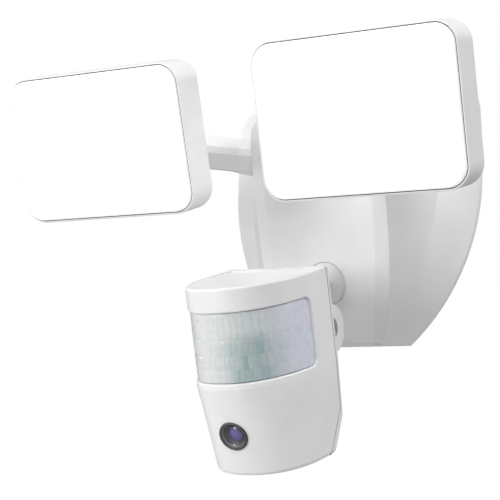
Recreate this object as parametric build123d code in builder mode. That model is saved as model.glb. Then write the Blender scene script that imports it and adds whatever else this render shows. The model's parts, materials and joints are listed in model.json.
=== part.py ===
"""A floodlight security camera: a wall housing, two tilting lamps and a tilting sensor and camera head.

Millimetres. The wall is the plane Y = 0, the front is -Y and +Z is up.
The origin is the centre of the junction box, on the wall.
"""

from build123d import *
import os
from math import acos, atan, cos, degrees, radians, sin, tan

os.makedirs("parts", exist_ok=True)

# ---- driving dimensions: housing ----
FLANGE_HALF_WIDTH = 88.3
FLANGE_HALF_BOTTOM = 41.0
FLANGE_TOP = 73.5
FLANGE_BOTTOM = -85.6
FLANGE_WIDEST = 18.0
FLANGE_CORNER = 14.0
RIM_DEPTH = 3.0
SHOULDER_DEPTH = 17.0
SHOULDER_SLOPE = -0.09
SHOULDER_HALF_WIDTH = 66.0
SHOULDER_HALF_BOTTOM = 33.0
SHOULDER_TOP = 61.0
SHOULDER_BOTTOM = -84.8
SHOULDER_WIDEST = 12.0
SHOULDER_CORNER = 13.0
PANEL_DEPTH = 48.0
PANEL_SLOPE = 0.25
PANEL_HALF_WIDTH = 45.0
PANEL_HALF_BOTTOM = 37.0
PANEL_TOP = 54.0
PANEL_BOTTOM = -83.5
PANEL_WIDEST = 4.0
PANEL_CORNER = 12.0
PANEL_BAND = 7.5
PANEL_BAND_DEPTH = 2.0
SIDE_LEAN = 4.5
WALL = 2.5
GAP = 0.3
RUNNING = 0.05

# ---- driving dimensions: mounting and electronics ----
BOX_SCREW_SPACING = 88.9
BOX_SCREW_HOLE = 2.4
WIRE_HOLE = 11.0
PLATE_THICKNESS = 3.0
PLATE_INSET = 7.5
POST_HEIGHT = 7.0
BOARD_THICKNESS = 1.6
SCREW_RADIUS = 1.5
SCREW_HEAD = 2.8

# ---- driving dimensions: sensor ball joint ----
BALL_RADIUS = 14.5
BALL_CENTRE_Z = -49.5
BALL_SINK = 5.5
NECK_RADIUS = 7.0
NECK_LENGTH = 32.0
ELBOW_RADIUS = 12.0
KNUCKLE_RADIUS = 12.0
KNUCKLE_WIDTH = 16.0
CUP_WALL = 3.0
CUP_FLANGE = 24.0
CUP_SCREW_CIRCLE = 20.5
SENSOR_PIN = 3.0
SENSOR_PIN_HEAD = 6.2

# ---- driving dimensions: sensor head ----
HINGE_FORWARD = 32.7
HINGE_DROP = 31.8
HEAD_FORWARD = 67.1
HEAD_RISE = 0.8
HEAD_YAW = 1.5
HEAD_PITCH = 16.0
HEAD_HALF_WIDTH = 33.2
HEAD_DEPTH = 73.4
HEAD_HEIGHT = 107.0
HEAD_BACK = 4.0
HEAD_STRAIGHT = 19.0
HEAD_WALL = 2.4
SEAM = 0.45
LIP = 2.6
LIP_DROP = 1.0
HEAD_FULLNESS = 2.3
CHIN_TOP = 56.0
CHIN_DEPTH = 60.5
CHIN_HALF_WIDTH = 31.4
KICK_HEIGHT = 83.0
KICK_FORWARD = 15.5
WINDOW_TOP = 13.6
WINDOW_BOTTOM = 52.6
WINDOW_END = 22.0
WINDOW_ROUND = 0.9
WINDOW_CORNER = 5.0
LENS_SINK = 1.1
LENS_SKIN = 1.2
LENS_OVERLAP = 2.5
LENS_END = 17.0
EAR_RADIUS = 14.5
EAR_HALF_SPAN = 20.0
CAMERA_DROP = 83.0
CAMERA_RADIUS = 8.6

# ---- driving dimensions: lamps ----
ARM_ROOT = (50.0, -37.0, 34.0)
ARM_TIP = (86.3, -96.0, 33.5)
ARM_SET = -4.1
ARM_HALF = 10.2
ARM_FLAT = 2.2
ARM_FOOT_HALF_WIDTH = 16.0
ARM_FOOT_HALF_HEIGHT = 11.0
ARM_FOOT_START = 3.0
ARM_FOOT_END = 19.0
ARM_START = -10.0
SPIGOT_RADIUS = 6.0
CUP_RADIUS = 13.0
SWIVEL_BALL = 9.0
SWIVEL_NECK = 4.5
SWIVEL_KNUCKLE = 7.5
SWIVEL_REACH = 22.9
SWIVEL_RISE = {"left": 1.7, "right": 0.6}
LAMP_YAW = 3.4
LAMP_PITCH = {"left": 19.3, "right": 16.6}
LAMP_WIDTH = 120.0
LAMP_HEIGHT = 87.7
LAMP_CORNER = 13.0
LAMP_DEPTH = 26.0
LAMP_RIM = 1.0
LENS_GAP = 0.6
LAMP_SIDE_WALL = 5.5
LAMP_BACK_WALL = 3.5
LENS_PROUD = 2.5
LENS_SEAT = 3.0
LENS_ROUND = 2.4
HINGE_BACK = 38.0
LAMP_PIN = 2.4
SLOT_LENGTH = 52.0
SLOT_WIDTH = 3.0
SLOT_DEPTH = 1.5
SLOT_START = 25.5
SLOT_PITCH = 6.0
COOLING_SLOTS = [(side * (SLOT_START + SLOT_PITCH * i), 0) for side in (-1, 1) for i in range(5)]
EAR_INSIDE = 7.0
EAR_THICKNESS = 4.0

UP = Vector(0, 0, 1)


# ---- frames and planes ----
def aimed_frame(origin, yaw, pitch):
    """A frame whose -Y looks along an aim turned toward +X by yaw and down by pitch."""
    across = Vector(cos(radians(yaw)), sin(radians(yaw)), 0)
    behind = Vector(
        -sin(radians(yaw)) * cos(radians(pitch)),
        cos(radians(yaw)) * cos(radians(pitch)),
        sin(radians(pitch)),
    )
    return Plane(origin=origin, x_dir=across, z_dir=across.cross(behind))


def place(frame, x, y, z):
    """A point given in a frame's own coordinates."""
    return frame.from_local_coords(Vector(x, y, z))


def facing(frame, y):
    """The frame's front elevation at local y: sketch x is across, sketch y is up."""
    return Plane(origin=place(frame, 0, y, 0), x_dir=frame.x_dir, z_dir=frame.y_dir * -1)


def side_on(frame, x):
    """The frame's side elevation at local x: sketch x is backward, sketch y is up."""
    return Plane(origin=place(frame, x, 0, 0), x_dir=frame.y_dir, z_dir=frame.x_dir)


def write(builder, label):
    """Label a finished sub-part and write its file."""
    builder.part.label = label
    export_step(builder.part, "parts/" + label + ".step")


WORLD = Plane.XY
PANEL_TILT = degrees(atan(PANEL_SLOPE))
PANEL = aimed_frame((0, -PANEL_DEPTH, 0), 0, PANEL_TILT)
SHOULDER_TILT = degrees(atan(SHOULDER_SLOPE))
SHOULDER = aimed_frame((0, -SHOULDER_DEPTH, 0), 0, SHOULDER_TILT)


# ---- housing ----
def shield_outline(half_width, half_bottom, top, bottom, widest, corner):
    """A shield: flat bottom, bowed sides, nearly upright upper sides and rounded upper corners.

    The bow meets the upper sides at the height called widest.
    """
    drop = widest - bottom
    centre = (half_width**2 - half_bottom**2 - drop**2) / (2 * (half_width - half_bottom))
    radius = half_width - centre
    sweep_down = degrees(acos((half_bottom - centre) / radius))
    lean = sin(radians(SIDE_LEAN))
    upper_radius = (top - widest - corner * (1 - lean)) / lean
    with BuildSketch() as outline:
        with BuildLine():
            lower = JernArc((half_width, widest), (0, -1), radius, -sweep_down)
            upper = JernArc((half_width, widest), (0, 1), upper_radius, SIDE_LEAN)
            round_corner = JernArc(upper @ 1, upper % 1, corner, 90 - SIDE_LEAN)
            Line(lower @ 1, (0, bottom))
            Line(round_corner @ 1, (0, top))
            mirror(about=Plane.YZ)
        make_face()
    return outline.sketch


def inset_flange(inset):
    """The flange's outline at the wall, moved in by inset."""
    return shield_outline(
        FLANGE_HALF_WIDTH - inset,
        FLANGE_HALF_BOTTOM - 0.7 * inset,
        FLANGE_TOP - inset,
        FLANGE_BOTTOM + inset,
        FLANGE_WIDEST,
        FLANGE_CORNER - 0.5 * inset,
    )


def shield_solid(inset):
    """The housing's body, moved in by inset on every side but the wall."""
    flange = inset_flange(inset)
    slope_run = FLANGE_HALF_WIDTH - SHOULDER_HALF_WIDTH
    slope_rise = SHOULDER_DEPTH - RIM_DEPTH
    slope = (slope_run**2 + slope_rise**2) ** 0.5
    rim = RIM_DEPTH - inset * (slope - slope_rise) / slope_run
    shoulder_line = shield_outline(
        SHOULDER_HALF_WIDTH - 1.2 * inset,
        SHOULDER_HALF_BOTTOM - 0.7 * inset,
        SHOULDER_TOP - inset,
        SHOULDER_BOTTOM + inset,
        SHOULDER_WIDEST,
        SHOULDER_CORNER,
    )
    stretch = 1 / cos(radians(PANEL_TILT))
    panel_line = shield_outline(
        PANEL_HALF_WIDTH - inset,
        PANEL_HALF_BOTTOM - 0.7 * inset,
        (PANEL_TOP - inset) * stretch,
        (PANEL_BOTTOM + inset) * stretch,
        PANEL_WIDEST,
        PANEL_CORNER,
    )
    with BuildPart() as body:
        with BuildSketch(facing(WORLD, 0)):
            add(flange)
        extrude(amount=rim)
        with BuildSketch(facing(WORLD, -rim)):
            add(flange)
        with BuildSketch(facing(SHOULDER, 0.8 * inset)):
            add(shoulder_line)
        with BuildSketch(facing(PANEL, inset)):
            add(panel_line)
        loft(ruled=True)
        front = body.faces().sort_by(Axis(PANEL.origin, PANEL.y_dir))[0]
        edges = front.edges().filter_by(lambda edge: edge.center().Z > FLANGE_BOTTOM + 8)
        chamfer(
            edges, PANEL_BAND - 0.8 * inset, PANEL_BAND_DEPTH - 0.2 * inset, reference=front
        )
    return body.part


outer_shield = shield_solid(0)
inner_shield = shield_solid(WALL)

ball_frame = Plane(
    origin=place(PANEL, 0, BALL_SINK, BALL_CENTRE_Z / cos(radians(PANEL_TILT))),
    x_dir=PANEL.x_dir,
    z_dir=PANEL.z_dir,
)
panel_inside = WALL - BALL_SINK
UNDER_SCREW_X = 24.0
UNDER_SCREW_Y = -12.0
UNDER_HEAD_TOP = FLANGE_BOTTOM + 2.0


def arm_frame(side):
    """The arm's frame: +Z runs from the root out to the ball at the tip, +Y is up."""
    root = Vector(side * ARM_ROOT[0], ARM_ROOT[1], ARM_ROOT[2])
    tip = Vector(side * ARM_TIP[0] + ARM_SET, ARM_TIP[1], ARM_TIP[2])
    along = tip - root
    return Plane(origin=root, x_dir=UP.cross(along), z_dir=along)


SPIGOT_START = -14.0

with BuildPart() as canopy:
    add(outer_shield)
    add(inner_shield, mode=Mode.SUBTRACT)
    with Locations(ball_frame.location):
        Sphere(BALL_RADIUS + GAP, mode=Mode.SUBTRACT)
    for side in (-1, 1):
        with BuildSketch(arm_frame(side).offset(SPIGOT_START)):
            Circle(SPIGOT_RADIUS + RUNNING)
        extrude(amount=30, mode=Mode.SUBTRACT)
        with BuildSketch(Plane.XY.offset(FLANGE_BOTTOM - 1)):
            with Locations((side * UNDER_SCREW_X, UNDER_SCREW_Y)):
                Circle(SCREW_RADIUS + RUNNING)
        extrude(amount=6, mode=Mode.SUBTRACT)
        with BuildSketch(Plane.XY.offset(UNDER_HEAD_TOP)):
            with Locations((side * UNDER_SCREW_X, UNDER_SCREW_Y)):
                Circle(SCREW_HEAD + GAP)
        extrude(amount=-4, mode=Mode.SUBTRACT)
    with BuildSketch(facing(ball_frame, panel_inside + 0.4)):
        with PolarLocations(CUP_SCREW_CIRCLE, 3, 90):
            Circle(SCREW_RADIUS + RUNNING)
    extrude(amount=2, mode=Mode.SUBTRACT)
write(canopy, "canopy_shell")

with BuildPart() as gasket:
    with BuildSketch(facing(WORLD, 0)):
        add(inset_flange(WALL + 0.4))
        add(inset_flange(PLATE_INSET - GAP), mode=Mode.SUBTRACT)
    extrude(amount=1.3)
write(gasket, "wall_gasket")

POWER_BOARD = (76.0, 42.0)
POWER_PLACE = (0.0, 36.0)
POWER_POSTS = (66.0, 32.0)
CONTROL_BOARD = (36.0, 26.0)
CONTROL_PLACE = (-30.0, -32.0)
CONTROL_POSTS = (28.0, 18.0)
POST_RADIUS = 3.0
board_back = -PLATE_THICKNESS - POST_HEIGHT
board_front = board_back - BOARD_THICKNESS


def corner_places(centre, spacing):
    """The four corners of a rectangle of holes."""
    return [
        (centre[0] + side * spacing[0] / 2, centre[1] + end * spacing[1] / 2)
        for side in (-1, 1)
        for end in (-1, 1)
    ]


POST_PLACES = corner_places(POWER_PLACE, POWER_POSTS)
POST_PLACES += corner_places(CONTROL_PLACE, CONTROL_POSTS)

with BuildPart() as back_plate:
    with BuildSketch(facing(WORLD, 0)):
        add(inset_flange(PLATE_INSET))
        Circle(WIRE_HOLE, mode=Mode.SUBTRACT)
        with GridLocations(BOX_SCREW_SPACING, 1, 2, 1):
            Circle(BOX_SCREW_HOLE, mode=Mode.SUBTRACT)
    extrude(amount=PLATE_THICKNESS)
    with BuildSketch(facing(WORLD, -PLATE_THICKNESS)):
        with Locations(*POST_PLACES):
            Circle(POST_RADIUS)
    extrude(amount=POST_HEIGHT)
    with BuildSketch(facing(WORLD, -PLATE_THICKNESS)):
        with GridLocations(2 * UNDER_SCREW_X, 1, 2, 1):
            with Locations((0, -75.6)):
                Rectangle(9, 11.6)
    extrude(amount=14)
    with BuildSketch(facing(WORLD, board_back)):
        with Locations(*POST_PLACES):
            Circle(SCREW_RADIUS + RUNNING)
    extrude(amount=-6, mode=Mode.SUBTRACT)
    with BuildSketch(Plane.XY.offset(UNDER_HEAD_TOP)):
        with Locations((-UNDER_SCREW_X, UNDER_SCREW_Y), (UNDER_SCREW_X, UNDER_SCREW_Y)):
            Circle(SCREW_RADIUS + RUNNING)
    extrude(amount=11, mode=Mode.SUBTRACT)
write(back_plate, "back_plate")

with BuildPart() as canopy_screws:
    with BuildSketch(Plane.XY.offset(UNDER_HEAD_TOP)):
        with Locations((-UNDER_SCREW_X, UNDER_SCREW_Y), (UNDER_SCREW_X, UNDER_SCREW_Y)):
            Circle(SCREW_HEAD)
    extrude(amount=-1.4)
    with BuildSketch(Plane.XY.offset(UNDER_HEAD_TOP)):
        with Locations((-UNDER_SCREW_X, UNDER_SCREW_Y), (UNDER_SCREW_X, UNDER_SCREW_Y)):
            Circle(SCREW_RADIUS)
    extrude(amount=10)
write(canopy_screws, "canopy_screws")

with BuildPart() as power_board:
    with BuildSketch(facing(WORLD, board_back)):
        with Locations(POWER_PLACE):
            Rectangle(POWER_BOARD[0], POWER_BOARD[1])
        with Locations(*POST_PLACES):
            Circle(SCREW_RADIUS + RUNNING, mode=Mode.SUBTRACT)
    extrude(amount=BOARD_THICKNESS)
write(power_board, "power_board")

with BuildPart() as control_board:
    with BuildSketch(facing(WORLD, board_back)):
        with Locations(CONTROL_PLACE):
            Rectangle(CONTROL_BOARD[0], CONTROL_BOARD[1])
        with Locations(*POST_PLACES):
            Circle(SCREW_RADIUS + RUNNING, mode=Mode.SUBTRACT)
    extrude(amount=BOARD_THICKNESS)
write(control_board, "control_board")

with BuildPart() as board_screws:
    with BuildSketch(facing(WORLD, board_front)):
        with Locations(*POST_PLACES):
            Circle(SCREW_HEAD)
    extrude(amount=1.6)
    with BuildSketch(facing(WORLD, board_front)):
        with Locations(*POST_PLACES):
            Circle(SCREW_RADIUS)
    extrude(amount=-6)
write(board_screws, "board_screws")

with BuildPart() as transformer:
    with BuildSketch(facing(WORLD, board_front)):
        with Locations((-14, 38)):
            Rectangle(24, 20)
    extrude(amount=5)
    with BuildSketch(facing(WORLD, board_front - 5)):
        with Locations((-14, 38)):
            Rectangle(18, 20)
    extrude(amount=12)
    fillet(transformer.edges().filter_by(Axis.Y), 1.5)
write(transformer, "power_transformer")

with BuildPart() as capacitors:
    with BuildSketch(facing(WORLD, board_front)):
        with Locations((14, 29), (14, 44)):
            Circle(5.5)
    extrude(amount=20)
    fillet(capacitors.faces().sort_by(Axis.Y)[:2].edges(), 0.8)
write(capacitors, "power_capacitors")

with BuildPart() as terminal_block:
    with BuildSketch(facing(WORLD, -PLATE_THICKNESS)):
        with Locations((32, -32)):
            Rectangle(27, 11)
    extrude(amount=11)
    with BuildSketch(facing(WORLD, -PLATE_THICKNESS - 11)):
        with Locations((32, -32)):
            with GridLocations(9, 1, 3, 1):
                Circle(2.2)
    extrude(amount=-6, mode=Mode.SUBTRACT)
write(terminal_block, "terminal_block")

with BuildPart() as control_chips:
    with BuildSketch(facing(WORLD, board_front)):
        with Locations((-35, -32)):
            Rectangle(11, 11)
        with Locations((-23, -32)):
            Rectangle(7, 9)
    extrude(amount=1.4)
write(control_chips, "control_chips")

with BuildPart() as antenna:
    with BuildSketch(facing(WORLD, -PLATE_THICKNESS)):
        with Locations((-64, 14)):
            RectangleRounded(12, 34, 1.5)
    extrude(amount=0.6)
write(antenna, "antenna")

# ---- the sensor's ball joint ----
with BuildPart() as ball_cup:
    with BuildSketch(facing(ball_frame, panel_inside)):
        Circle(CUP_FLANGE)
    extrude(amount=-2.5)
    with Locations(ball_frame.location):
        Sphere(BALL_RADIUS + CUP_WALL)
    with BuildSketch(facing(ball_frame, panel_inside)):
        Circle(CUP_FLANGE)
    extrude(amount=CUP_FLANGE, mode=Mode.SUBTRACT)
    with Locations(ball_frame.location):
        Sphere(BALL_RADIUS + GAP, mode=Mode.SUBTRACT)
    with BuildSketch(facing(ball_frame, CUP_FLANGE)):
        Circle(5.0)
    extrude(amount=CUP_FLANGE, mode=Mode.SUBTRACT)
    with BuildSketch(facing(ball_frame, panel_inside)):
        with PolarLocations(CUP_SCREW_CIRCLE, 3, 90):
            Circle(SCREW_RADIUS + RUNNING)
    extrude(amount=-2.5, mode=Mode.SUBTRACT)
write(ball_cup, "ball_cup")

with BuildPart() as cup_screws:
    with BuildSketch(facing(ball_frame, panel_inside + 2.5)):
        with PolarLocations(CUP_SCREW_CIRCLE, 3, 90):
            Circle(SCREW_HEAD - 0.3)
    extrude(amount=-1.6)
    with BuildSketch(facing(ball_frame, panel_inside + 2.5)):
        with PolarLocations(CUP_SCREW_CIRCLE, 3, 90):
            Circle(SCREW_RADIUS)
    extrude(amount=3.8)
write(cup_screws, "cup_screws")

pan = aimed_frame(ball_frame.origin, HEAD_YAW, 0)
neck = aimed_frame(ball_frame.origin, HEAD_YAW, PANEL_TILT)
elbow_point = (
    -NECK_LENGTH * cos(radians(PANEL_TILT)),
    -NECK_LENGTH * sin(radians(PANEL_TILT)),
)
hinge = place(pan, 0, -HINGE_FORWARD, -HINGE_DROP)
head = aimed_frame(place(pan, 0, -HEAD_FORWARD, HEAD_RISE), HEAD_YAW, HEAD_PITCH)
hinge_in_head = head.to_local_coords(hinge)
hinge_y = hinge_in_head.Y
hinge_z = hinge_in_head.Z

knuckle_plane = Plane(
    origin=place(head, -KNUCKLE_WIDTH / 2, hinge_y, hinge_z),
    x_dir=head.z_dir * -1,
    z_dir=head.x_dir,
)

with BuildPart() as sensor_arm:
    with Locations(neck.location):
        Sphere(BALL_RADIUS)
    with BuildLine(side_on(pan, 0)) as neck_path:
        FilletPolyline((0, 0), elbow_point, (-HINGE_FORWARD, -HINGE_DROP), radius=ELBOW_RADIUS)
    with BuildSketch(facing(neck, 0)):
        Circle(NECK_RADIUS)
    sweep(path=neck_path.wires()[0])
    with BuildSketch(knuckle_plane):
        Circle(KNUCKLE_RADIUS)
    extrude(amount=KNUCKLE_WIDTH)
    with BuildSketch(side_on(head, -KNUCKLE_WIDTH)):
        with Locations((hinge_y, hinge_z)):
            Circle(SENSOR_PIN + RUNNING)
    extrude(amount=2 * KNUCKLE_WIDTH, mode=Mode.SUBTRACT)
write(sensor_arm, "sensor_arm")

# ---- sensor head ----
kick_drop = HEAD_HEIGHT - KICK_HEIGHT
kick_angle = atan(KICK_FORWARD / kick_drop)
HEAD_SPAN = 45.0
REACH_BACK = 45.0


def behind_seam(offset):
    """Everything behind the seam's side profile, moved back by offset."""
    corner_z = -KICK_HEIGHT - offset * tan(kick_angle / 2)
    foot = (offset - 1.4 * KICK_FORWARD, corner_z - 1.4 * kick_drop)
    with BuildPart() as block:
        with BuildSketch(side_on(head, -HEAD_SPAN)):
            with BuildLine():
                Polyline(
                    (offset, 5),
                    (offset, corner_z),
                    foot,
                    (REACH_BACK, foot[1]),
                    (REACH_BACK, 5),
                    close=True,
                )
            make_face()
        extrude(amount=2 * HEAD_SPAN)
    return block.part


def bulge_point(half_width, reach, angle):
    """A point of the head's front curve, an oval filled out a little toward its corners."""
    across, forward = cos(radians(angle)), sin(radians(angle))
    fill = abs(across / half_width) ** HEAD_FULLNESS + (forward / reach) ** HEAD_FULLNESS
    size = fill ** (-1 / HEAD_FULLNESS)
    return (across * size, -HEAD_STRAIGHT - forward * size)


def head_plan(half_width, depth, back):
    """The head seen from above: flat back, straight sides and a bulging front."""
    reach = depth - HEAD_STRAIGHT
    curve = [bulge_point(half_width, reach, 180 - 10 * i) for i in range(1, 18)]
    left = (-half_width, -HEAD_STRAIGHT)
    right = (half_width, -HEAD_STRAIGHT)
    with BuildSketch() as plan:
        with BuildLine():
            Spline(left, *curve, right, tangents=((0, -1), (0, 1)))
            Polyline(right, (half_width, back), (-half_width, back), left)
        make_face()
        fillet(plan.vertices().sort_by(Axis.Y)[-2:], 2.5)
    return plan.sketch


def head_solid(inset):
    """The head's body, moved in by inset all round."""
    upper = head_plan(HEAD_HALF_WIDTH - inset, HEAD_DEPTH - inset, HEAD_BACK - inset)
    chin = head_plan(CHIN_HALF_WIDTH - inset, CHIN_DEPTH - inset, HEAD_BACK - inset)
    with BuildPart() as body:
        with BuildSketch(head.offset(-inset)):
            add(upper)
        extrude(amount=inset - CHIN_TOP)
        with BuildSketch(head.offset(-CHIN_TOP)):
            add(upper)
        with BuildSketch(head.offset(inset - HEAD_HEIGHT)):
            add(chin)
        loft()
        add(behind_seam(HEAD_BACK - inset), mode=Mode.SUBTRACT)
    return body.part


def head_outside():
    """The head's body with its rounded lower edge and the shallow recess in its top."""
    with BuildPart() as body:
        add(head_solid(0))
        bottom = body.faces().sort_by(Axis(head.origin, head.z_dir))[0]
        fillet(bottom.edges(), 3.0)
        top = body.faces().sort_by(Axis(head.origin, head.z_dir))[-1]
        fillet(top.edges(), 1.4)
        with BuildSketch(head):
            add(head_plan(HEAD_HALF_WIDTH - LIP, HEAD_DEPTH - LIP, -LIP))
        extrude(amount=-LIP_DROP, mode=Mode.SUBTRACT)
    return body.part


def on_outside(edge):
    """True for an edge that lies on the upper head's outer surface."""
    middle = head.to_local_coords(edge.position_at(0.5))
    across = abs(middle.X) / HEAD_HALF_WIDTH
    forward = max(0, -HEAD_STRAIGHT - middle.Y) / (HEAD_DEPTH - HEAD_STRAIGHT)
    return across**HEAD_FULLNESS + forward**HEAD_FULLNESS > 0.97


head_outer = head_outside()
head_inner = head_solid(HEAD_WALL)
SHELL_SCREWS = [(x, z) for x in (-27.3, 27.3) for z in (-9.0, -76.0)]
BOSS_WIDTH = 8.0
BOARD_POSTS = [(x, z) for x in (-19.0, 19.0) for z in (-14.0, -72.0)]
SENSOR_BOARD_Y = -30.0
chin_slope = degrees(atan((HEAD_DEPTH - CHIN_DEPTH) / (HEAD_HEIGHT - CHIN_TOP)))
camera_out = HEAD_DEPTH - (CAMERA_DROP - CHIN_TOP) * tan(radians(chin_slope))
camera = aimed_frame(
    place(head, 0, -camera_out, -CAMERA_DROP), HEAD_YAW, HEAD_PITCH + chin_slope
)


def window_block(inset):
    """A block as tall as the window that runs right through the head, moved in by inset."""
    height = WINDOW_BOTTOM - WINDOW_TOP - 2 * inset
    run = HEAD_DEPTH - WINDOW_END + 20
    with BuildPart() as block:
        with BuildSketch(side_on(head, -HEAD_SPAN)):
            with Locations((-WINDOW_END - inset - run / 2, -(WINDOW_TOP + WINDOW_BOTTOM) / 2)):
                RectangleRounded(run, height, WINDOW_CORNER - inset)
        extrude(amount=2 * HEAD_SPAN)
    return block.part


with BuildPart() as front_shell:
    add(head_outer)
    add(head_inner, mode=Mode.SUBTRACT)
    add(behind_seam(-SEAM), mode=Mode.SUBTRACT)
    add(window_block(0), mode=Mode.SUBTRACT)
    window_rim = front_shell.edges(Select.LAST).filter_by(on_outside)
    fillet(window_rim, WINDOW_ROUND)
    with BuildSketch(facing(head, -SEAM)):
        with Locations(*SHELL_SCREWS):
            Rectangle(BOSS_WIDTH, BOSS_WIDTH)
    extrude(amount=14)
    with BuildSketch(facing(head, -SEAM)):
        with Locations(*SHELL_SCREWS):
            Circle(SCREW_RADIUS + RUNNING)
    extrude(amount=11, mode=Mode.SUBTRACT)
    with BuildSketch(facing(camera, 8)):
        Circle(CAMERA_RADIUS + RUNNING)
    extrude(amount=14, mode=Mode.SUBTRACT)
write(front_shell, "sensor_front_shell")

with BuildPart() as back_shell:
    add(head_outer)
    add(behind_seam(SEAM), mode=Mode.INTERSECT)
    add(head_inner, mode=Mode.SUBTRACT)
    for side in (-1, 1):
        inside = side * (KNUCKLE_WIDTH / 2 + GAP)
        with BuildSketch(side_on(head, inside)):
            with Locations((hinge_y, hinge_z)):
                Circle(EAR_RADIUS)
            with Locations(((hinge_y + HEAD_BACK - 1) / 2, hinge_z)):
                Rectangle(hinge_y - HEAD_BACK + 1, 2 * EAR_RADIUS)
        extrude(amount=side * (EAR_HALF_SPAN - KNUCKLE_WIDTH / 2 - GAP))
        with BuildSketch(side_on(head, side * EAR_HALF_SPAN)):
            with Locations((hinge_y, hinge_z)):
                Circle(SENSOR_PIN_HEAD + GAP)
        extrude(amount=-side * 3.5, mode=Mode.SUBTRACT)
    with BuildSketch(side_on(head, -HEAD_SPAN)):
        with Locations((hinge_y, hinge_z)):
            Circle(SENSOR_PIN + RUNNING)
    extrude(amount=2 * HEAD_SPAN, mode=Mode.SUBTRACT)
    with BuildSketch(facing(head, HEAD_BACK - HEAD_WALL)):
        with Locations(*BOARD_POSTS):
            Circle(3.0)
    extrude(amount=HEAD_BACK - HEAD_WALL - SENSOR_BOARD_Y)
    with BuildSketch(facing(head, HEAD_BACK + 1)):
        with Locations(*SHELL_SCREWS):
            Circle(SCREW_HEAD + GAP)
    extrude(amount=2.6, mode=Mode.SUBTRACT)
    with BuildSketch(facing(head, HEAD_BACK)):
        with Locations(*SHELL_SCREWS):
            Circle(SCREW_RADIUS + RUNNING)
    extrude(amount=6, mode=Mode.SUBTRACT)
write(back_shell, "sensor_back_shell")

with BuildPart() as shell_seal:
    add(head_solid(SEAM))
    add(head_solid(HEAD_WALL - 0.2), mode=Mode.SUBTRACT)
    add(behind_seam(-SEAM), mode=Mode.INTERSECT)
    add(behind_seam(SEAM), mode=Mode.SUBTRACT)
write(shell_seal, "shell_seal")

with BuildPart() as shell_screws:
    with BuildSketch(facing(head, HEAD_BACK - 0.1)):
        with Locations(*SHELL_SCREWS):
            Circle(SCREW_HEAD)
    extrude(amount=1.5)
    with BuildSketch(facing(head, HEAD_BACK - 1.6)):
        with Locations(*SHELL_SCREWS):
            Circle(SCREW_RADIUS)
    extrude(amount=11)
write(shell_screws, "shell_screws")

lens_inset = HEAD_WALL + RUNNING


def head_slab(inset):
    """The upper head's plan, moved in by inset, as tall as the motion lens."""
    with BuildPart() as slab:
        with BuildSketch(head.offset(-WINDOW_TOP + LENS_OVERLAP)):
            add(head_plan(HEAD_HALF_WIDTH - inset, HEAD_DEPTH - inset, 0))
        extrude(amount=WINDOW_TOP - WINDOW_BOTTOM - 2 * LENS_OVERLAP)
    return slab.part


with BuildPart() as motion_lens:
    add(head_slab(LENS_SINK))
    add(window_block(GAP), mode=Mode.INTERSECT)
    add(head_slab(lens_inset))
    add(head_slab(lens_inset + LENS_SKIN), mode=Mode.SUBTRACT)
    with BuildSketch(side_on(head, -HEAD_SPAN)):
        with Locations((-LENS_END + HEAD_HEIGHT / 2, -HEAD_HEIGHT / 2)):
            Rectangle(HEAD_HEIGHT, HEAD_HEIGHT)
    extrude(amount=2 * HEAD_SPAN, mode=Mode.SUBTRACT)
write(motion_lens, "motion_lens")

with BuildPart() as sensor_board:
    with BuildSketch(facing(head, SENSOR_BOARD_Y)):
        with Locations((0, -43)):
            Rectangle(46, 66)
    extrude(amount=BOARD_THICKNESS)
write(sensor_board, "sensor_board")

with BuildPart() as motion_sensors:
    with BuildSketch(facing(head, SENSOR_BOARD_Y - BOARD_THICKNESS)):
        with Locations((-9, -34), (9, -34)):
            Circle(4.1)
    extrude(amount=4.5)
write(motion_sensors, "motion_sensors")

with BuildPart() as camera_bezel:
    with BuildSketch(facing(camera, 3.0)):
        Circle(CAMERA_RADIUS)
        Circle(CAMERA_RADIUS - 2.4, mode=Mode.SUBTRACT)
    extrude(amount=3.8)
    chamfer(camera_bezel.edges().sort_by(Axis(camera.origin, camera.y_dir))[:2], 0.5)
write(camera_bezel, "camera_bezel")

with BuildPart() as camera_glass:
    with BuildSketch(facing(camera, 1.6)):
        Circle(CAMERA_RADIUS - 2.4 - RUNNING)
    extrude(amount=1.2)
write(camera_glass, "camera_glass")

with BuildPart() as camera_barrel:
    with BuildSketch(facing(camera, 20)):
        Circle(7.5)
    extrude(amount=17)
    with BuildSketch(facing(camera, 9)):
        Circle(5.6)
    extrude(amount=6, mode=Mode.SUBTRACT)
write(camera_barrel, "camera_barrel")

with BuildPart() as camera_lens:
    with BuildSketch(facing(camera, 9)):
        Circle(5.6 - RUNNING)
    extrude(amount=2.6)
    fillet(camera_lens.edges().sort_by(Axis(camera.origin, camera.y_dir))[:1], 2.2)
write(camera_lens, "camera_lens")

with BuildPart() as camera_board:
    with BuildSketch(facing(camera, 21.4)):
        Rectangle(22, 22)
    extrude(amount=1.4)
write(camera_board, "camera_board")

with BuildPart() as sensor_tilt_bolt:
    with BuildSketch(side_on(head, -EAR_HALF_SPAN + 0.6)):
        with Locations((hinge_y, hinge_z)):
            Circle(SENSOR_PIN)
    extrude(amount=2 * EAR_HALF_SPAN - 3.5 - 0.6)
    with BuildSketch(side_on(head, EAR_HALF_SPAN - 3.5)):
        with Locations((hinge_y, hinge_z)):
            Circle(SENSOR_PIN_HEAD)
    extrude(amount=3.2)
    with BuildSketch(side_on(head, EAR_HALF_SPAN)):
        with Locations((hinge_y, hinge_z)):
            Rectangle(9, 1.6)
            Rectangle(1.6, 9)
    extrude(amount=-1.6, mode=Mode.SUBTRACT)
write(sensor_tilt_bolt, "sensor_tilt_bolt")

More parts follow.
